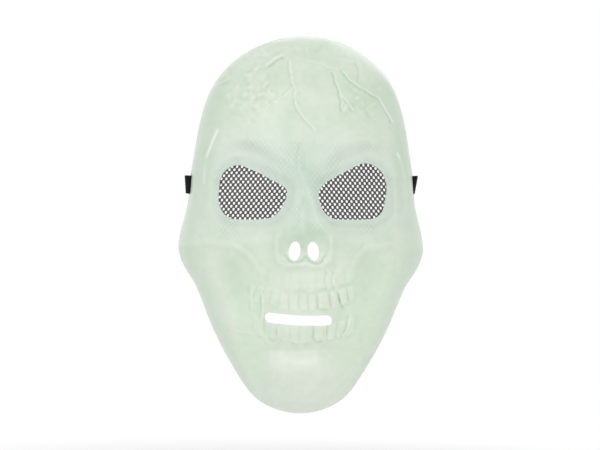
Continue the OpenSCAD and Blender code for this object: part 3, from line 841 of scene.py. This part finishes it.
def screen_holes(corners):
    """Middles of the staggered holes that lie wholly in the sheet."""
    across, up = 10, 14
    for j in range(-up, up + 1):
        for i in range(-across, across + 1):
            u, v = (i + 0.5 * (j % 2)) * HOLE_PITCH, j * ROW_PITCH
            if hull_distance(u, v, corners) < SCREEN_MARGIN - HOLE_EDGE:
                yield u, v


def build_screen(side, word):
    corners = SCREEN_CORNERS[side]
    points = [Vector(eye_edge(a, SCREEN_MARGIN, corners)) for a in np.radians(np.arange(0, 360, 4))]
    loops = [list(range(len(points)))]
    middles = np.array(list(screen_holes(corners)))
    for u, v in middles:
        loops.append(list(range(len(points), len(points) + HOLE_SIDES)))
        for a in 2 * math.pi * np.arange(HOLE_SIDES) / HOLE_SIDES:
            pull = 1 - HOLE_CORNER * abs(math.sin(2 * a))
            points.append(Vector((u + HOLE_W * pull * math.cos(a), v + HOLE_H * pull * math.sin(a))))
    edges = [(loop[k], loop[(k + 1) % len(loop)]) for loop in loops for k in range(len(loop))]
    flat, _, faces = delaunay_2d_cdt(points, edges, [], 0, 1e-5)[:3]

    def in_sheet(face):
        inside = 0.729
        u, v = sum((flat[i] for i in face), Vector((0, 0))) / len(face)
        off = (middles - (u, v)) / (HOLE_W, HOLE_H)
        in_hole = np.any(np.sum(off ** 2, axis=1) < inside)
        return not in_hole and hull_distance(u, v, corners) <= SCREEN_MARGIN

    obj = mesh_from("eye_mesh_" + word, [(q.x, q.y, SCREEN_BACK) for q in flat],
                    [list(face) for face in faces if in_sheet(face)], SCREEN)
    thicken(obj, way=Vector((0, 0, 1)), merge=0.01, thickness=SCREEN_T, offset=1)
    obj.data.transform(socket_matrix(side))
    soften(obj)
    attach(obj, "mask")
    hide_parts("eye_screen_" + word)


# Glue spots: directions from the middle of the eye, radius, height, distance outside the opening's edge
GLUE_ANGLES = [0, 75, 130, 200, 255, 305]
GLUE_R, GLUE_H, GLUE_OUT = 2.0, 1.4, 2.9


def build_glue(side, word):
    """Lumpy spots of glue along the screen's margin, each pulled out into a small peak."""
    points, faces = [], []
    rings, around, ripple = 9, 28, 0.04
    rng = np.random.default_rng(11 if side < 0 else 12)
    for angle in np.radians(GLUE_ANGLES):
        cu, cv = eye_edge(angle, GLUE_OUT, SCREEN_CORNERS[side])
        wobble, turn = rng.uniform(0.05, 0.12), rng.uniform(0, 6.28)
        lean = rng.uniform(-0.5, 0.5, 2)
        start = len(points)
        for t in np.linspace(0, 1, rings):
            spread = GLUE_R * math.cos(t * math.pi / 2) ** 0.8
            height = GLUE_H * math.sin(t * math.pi / 2) ** 0.9
            mu, mv = (cu, cv) + lean * t * t
            for a in 2 * math.pi * np.arange(around) / around:
                r = spread * (1 + wobble * math.sin(2 * a + turn) + ripple * math.sin(5 * a))
                points.append((mu + r * math.cos(a), mv + r * math.sin(a), SCREEN_BACK - height))
        faces += ring_quads(start, rings, around) + [list(range(start, start + around))[::-1]]
    obj = mesh_from("glue_spots_" + word, points, faces, GLUE)
    with edited(obj.data) as bm:
        bmesh.ops.remove_doubles(bm, verts=bm.verts, dist=0.01 * MM)
    obj.data.transform(socket_matrix(side))
    soften(obj)
    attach(obj, "mask")
    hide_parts("screen_glue_" + word)


# Elastic strap, sized and placed as in the part's source
STRAP_W, STRAP_T = 12.0, 1.2
LOOP_GAP, LOOP_OUT, TAIL_L = 0.4, 2.2, 14.0
TURN_R, STRAP_SAG, BAND_START, BAND_GAP = 14.0, 100.0, 5.2, 0.4
WALL_X = float(half_width(0.0))
WALL_TILT = math.atan(float(half_width(-STRAP_W / 2) - half_width(STRAP_W / 2)) / STRAP_W)
WALL_SPLAY = math.radians(4.4)
BAND_X = WALL_X - WALL - LOOP_GAP - 1.5 * STRAP_T - BAND_GAP - STRAP_W / 2 * math.tan(WALL_TILT)
# How far each folded end stands out, leans and is lifted: -1 left, 1 right
LOOP_SHAPES = {-1: (LOOP_OUT, 0.14, -0.8), 1: (LOOP_OUT - 1, 0.24, 0.8)}
# Knit of the elastic: loops along it and ribs across it; angle at which its edges show
LOOP_PITCH, RIB_PITCH, WEB_SHARP = 0.9, 1.25, 60


def end_matrix(side):
    tilt, splay = Matrix.Rotation(-WALL_TILT, 4, "Y"), Matrix.Rotation(-WALL_SPLAY, 4, "Z")
    return mirrored(side) @ Matrix.Translation((WALL_X * MM, 0, 0)) @ tilt @ splay


def webbing_section():
    """Outline of the elastic across its width: ribbed faces and round edges."""
    ribs, per, rib_h, margin, corner_w, corner_t = 9, 6, 0.07, 0.35, 0.1, 0.55
    half_w, half_t = STRAP_W / 2, STRAP_T / 2
    across = np.linspace(margin - half_w, half_w - margin, ribs * per + 1)
    wave = rib_h * np.cos(2 * math.pi * np.arange(ribs * per + 1) / per)
    half = [(u, half_t - rib_h - w) for u, w in zip(across, wave)]
    half += [(half_w - corner_w, half_t * corner_t), (half_w, 0), (half_w - corner_w, -half_t * corner_t)]
    return half + [(-u, -w) for u, w in half]


SECTION = webbing_section()


def sweep(name, path, wide):
    """Elastic along a path in millimetres, with the direction of its width at each point; and its length."""
    path, wide = np.array(path, float), np.array(wide, float)
    ahead = np.gradient(path, axis=0)
    ahead /= np.linalg.norm(ahead, axis=1, keepdims=True)
    wide -= ahead * np.sum(wide * ahead, axis=1, keepdims=True)
    wide /= np.linalg.norm(wide, axis=1, keepdims=True)
    face = np.cross(ahead, wide)
    run = np.concatenate([[0], np.cumsum(np.linalg.norm(np.diff(path, axis=0), axis=1))])
    n = len(SECTION)
    points = [path[i] + u * wide[i] + w * face[i] for i in range(len(path)) for u, w in SECTION]
    faces = ring_quads(0, len(path), n)
    maps = [(run[v // n] / LOOP_PITCH, SECTION[v % n][0] / RIB_PITCH) for quad in faces for v in quad]
    for start in (0, (len(path) - 1) * n):
        faces.append(list(range(start, start + n)))
        maps += [(0, u / RIB_PITCH) for u, _ in SECTION]
    mesh = bpy.data.meshes.new(name)
    mesh.from_pydata([tuple(p) for p in np.array(points) * MM], [], faces)
    layer = mesh.uv_layers.new(name="weave")
    layer.data.foreach_set("uv", np.array(maps, np.float32).ravel())
    mesh.materials.append(ELASTIC)
    obj = new_object(name, mesh)
    soften(obj, WEB_SHARP)
    return obj, float(run[-1])


def rounded(points, radius):
    """Line of points with its corners rounded and its straights divided."""
    per, step, most = 7, 0.8, 0.49
    points = [np.array(p, float) for p in points]
    out = [points[0]]
    for before, at, after in zip(points, points[1:], points[2:]):
        back, on = np.linalg.norm(before - at), np.linalg.norm(after - at)
        r = min(radius, most * back, most * on)
        a, b = at + (before - at) / back * r, at + (after - at) / on * r
        out += [(1 - t) ** 2 * a + 2 * t * (1 - t) * at + t * t * b for t in np.linspace(0, 1, per)]
    out.append(points[-1])
    fine = [out[0]]
    for a, b in zip(out, out[1:]):
        count = max(1, int(np.linalg.norm(b - a) / step))
        fine += [a + (b - a) * k / count for k in range(1, count + 1)]
    return fine


def build_loop(side, word):
    """End of the elastic, folded through the slot and round the rim, with its tail."""
    stand, lean, lift = LOOP_SHAPES[side]
    bend, sill, rise, front, taper, tuck = 1.4, 0.4, 2.6, -3, 0.8, 0.5
    inner, outer, back = -WALL - LOOP_GAP - STRAP_T / 2, stand + STRAP_T / 2, LOOP_GAP + STRAP_T / 2
    line = [(inner, TAIL_L, 0), (inner, -SLOT_BACK, 0), (sill, -SLOT_BACK, 0), (outer, rise - SLOT_BACK, 0),
            (outer, front, 0), (outer - taper, back, 0), (inner + sill, back + tuck, 0)]
    path = rounded(line, bend)
    obj, _ = sweep("strap_loop_" + word, path, [(0, 0, 1)] * len(path))
    for v in obj.data.vertices:
        v.co.x += lean * v.co.z * float(ease(0, stand, v.co.x / MM))
        v.co.z += lift * MM
    obj.data.transform(end_matrix(side))
    soften(obj, WEB_SHARP)
    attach(obj, "mask")
    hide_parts("strap_end_" + word)


def band_path():
    """Path of the free band from its right end to its left one, and the direction of its width."""
    first = 0.8
    lead, turn = np.linspace(first, BAND_START, 6)[:-1], np.radians(np.linspace(0, 90, 19))[:-1]
    half = [((BAND_X, y, 0), (0, 0, 1)) for y in lead]
    for a in turn:
        at = (BAND_X, BAND_START + TURN_R * math.sin(a), -TURN_R * (1 - math.cos(a)))
        half.append((at, (0, math.sin(a), math.cos(a))))
    sag = []
    for a in np.radians(np.linspace(0, 180, 121)):
        at = (BAND_X * math.cos(a), BAND_START + TURN_R, -TURN_R - STRAP_SAG * math.sin(a))
        sag.append((at, (0, 1, 0)))
    return zip(*half, *sag, *(((-x, y, z), wide) for (x, y, z), wide in half[::-1]))


def build_band():
    path, wide = band_path()
    obj, length = sweep("strap_webbing", path, wide)
    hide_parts("strap_band")
    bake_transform(obj)
    return length


def build_stitches(side, word):
    """Bar tack: rows of thread over both faces of the sewn layers."""
    points, faces = [], []
    radius, around, steps = 0.26, 8, 8
    arch, sunk, thin, proud, slack = 0.3, 0.18, 0.55, 0.02, 0.95
    outer_face, inner_face = -WALL - LOOP_GAP + proud, -WALL - LOOP_GAP - STRAP_T * 2 - slack
    first, length, count, edge = 2.2, 2.4, 13, 4.6

    def tube(a, b, rise):
        a, b = np.array(a, float), np.array(b, float)
        ahead, up = (b - a) / np.linalg.norm(b - a), np.array((rise, 0, 0), float)
        across, start = np.cross(ahead, up), len(points)
        for t in np.linspace(0, 1, steps + 1):
            c = a + (b - a) * t + up * (arch * math.sin(math.pi * t) - sunk)
            r = radius * (thin + (1 - thin) * math.sin(math.pi * (0.1 + 0.8 * t)))
            for w in 2 * math.pi * np.arange(around) / around:
                points.append(c + r * (math.cos(w) * up + math.sin(w) * across))
        faces.extend(ring_quads(start, steps + 1, around))
        faces.extend(list(range(end, end + around)) for end in (start, start + steps * around))

    for x, rise in ((outer_face, 1), (inner_face, -1)):
        zs = np.linspace(-edge, edge, count)
        for k, z in enumerate(zs):
            tube((x, first, z), (x, first + length, z), rise)
            if k + 1 < count:
                tube((x, first + length, z), (x, first, zs[k + 1]), rise)
    obj = mesh_from("bar_tack_" + word, points, faces, THREAD)
    obj.data.transform(end_matrix(side))
    soften(obj)
    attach(obj, "mask")
    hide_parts("strap_stitch_" + word)


# Lamps: name, place, size, power
LAMPS = [
    ("key", (-0.9, -1.3, 0.9), 0.9, 2.6), ("fill", (0.3, -1.75, 0.05), 1.0, 3.6),
    ("back", (0.3, 1.4, 0.8), 1.0, 1.2),
]
LAMP_AIM = Vector((0, -0.03, -0.03))


def build_stage():
    """White floor that fades into a white surround, and three soft lamps."""
    floor_z, size, fade_from, fade_to, ambient = -0.19, 6.0, 0.22, 0.36, 0.84
    mesh = bpy.data.meshes.new("floor")
    corners = [(-size, -size, floor_z), (size, -size, floor_z), (size, size, floor_z), (-size, size, floor_z)]
    mesh.from_pydata(corners, [], [(0, 1, 2, 3)])
    floor = new_object("floor", mesh)
    n = Nodes("floor_paper")
    n.set(Roughness=0.9, Base_Color=(0.96, 0.96, 0.96, 1))
    far = n.add("ShaderNodeVectorMath", operation="LENGTH")
    n.link(n.place(), far.inputs[0])
    seen = n.add("ShaderNodeLightPath").outputs["Is Camera Ray"]
    fade = n.math("MULTIPLY", seen, n.ramp(far.outputs["Value"], fade_from, fade_to))
    mixed, glow = n.add("ShaderNodeMixShader"), n.add("ShaderNodeEmission")
    for socket, source in zip(mixed.inputs, (fade, n.shader.outputs[0], glow.outputs[0])):
        n.link(source, socket)
    n.link(mixed.outputs[0], n.tree.nodes["Material Output"].inputs["Surface"])
    mesh.materials.append(n.material)

    world = bpy.data.worlds.new("studio")
    scene.world = world
    world.use_nodes = True
    tree = world.node_tree
    back = tree.nodes["Background"]
    rays = tree.nodes.new("ShaderNodeLightPath").outputs
    seen = rays["Is Camera Ray"]
    for kind in ("Is Transmission Ray", "Is Glossy Ray"):
        either = tree.nodes.new("ShaderNodeMath")
        either.operation = "MAXIMUM"
        tree.links.new(seen, either.inputs[0])
        tree.links.new(rays[kind], either.inputs[1])
        seen = either.outputs[0]
    strength = tree.nodes.new("ShaderNodeMapRange")
    tree.links.new(seen, strength.inputs["Value"])
    strength.inputs["To Min"].default_value = ambient
    strength.inputs["To Max"].default_value = 1.0
    tree.links.new(strength.outputs["Result"], back.inputs["Strength"])
    back.inputs["Color"].default_value = (1, 1, 1, 1)

    for name, at, size, power in LAMPS:
        light = bpy.data.lights.new(name, "AREA")
        light.shape, light.size, light.energy = "DISK", size, power
        lamp = new_object(name, light)
        lamp.location = at
        lamp.rotation_euler = (LAMP_AIM - Vector(at)).to_track_quat("-Z", "Y").to_euler()


def build_camera():
    """Long view from the front, a little from the mask's -X side and slightly rolled."""
    away, turn, roll = 2.0, math.radians(1.5), math.radians(0.7)
    sensor, seen_width = 36, 0.4
    target = Vector((-0.0007, 0, -0.0267))
    data = bpy.data.cameras.new("camera")
    data.sensor_width, data.lens, data.clip_end = sensor, sensor * away / seen_width, 30
    camera = new_object("camera", data)
    camera.location = target + away * Vector((-math.sin(turn), -math.cos(turn), 0))
    look = (target - camera.location).to_track_quat("-Z", "Y").to_matrix().to_4x4()
    camera.rotation_euler = (look @ Matrix.Rotation(roll, 4, "Z")).to_euler()
    scene.camera = camera


build_camera()
build_stage()
build_shell()
for side, word in ((-1, "left"), (1, "right")):
    build_screen(side, word)
    build_glue(side, word)
    build_loop(side, word)
    build_stitches(side, word)
strap_length = build_band()

scene.view_settings.view_transform = "Standard"
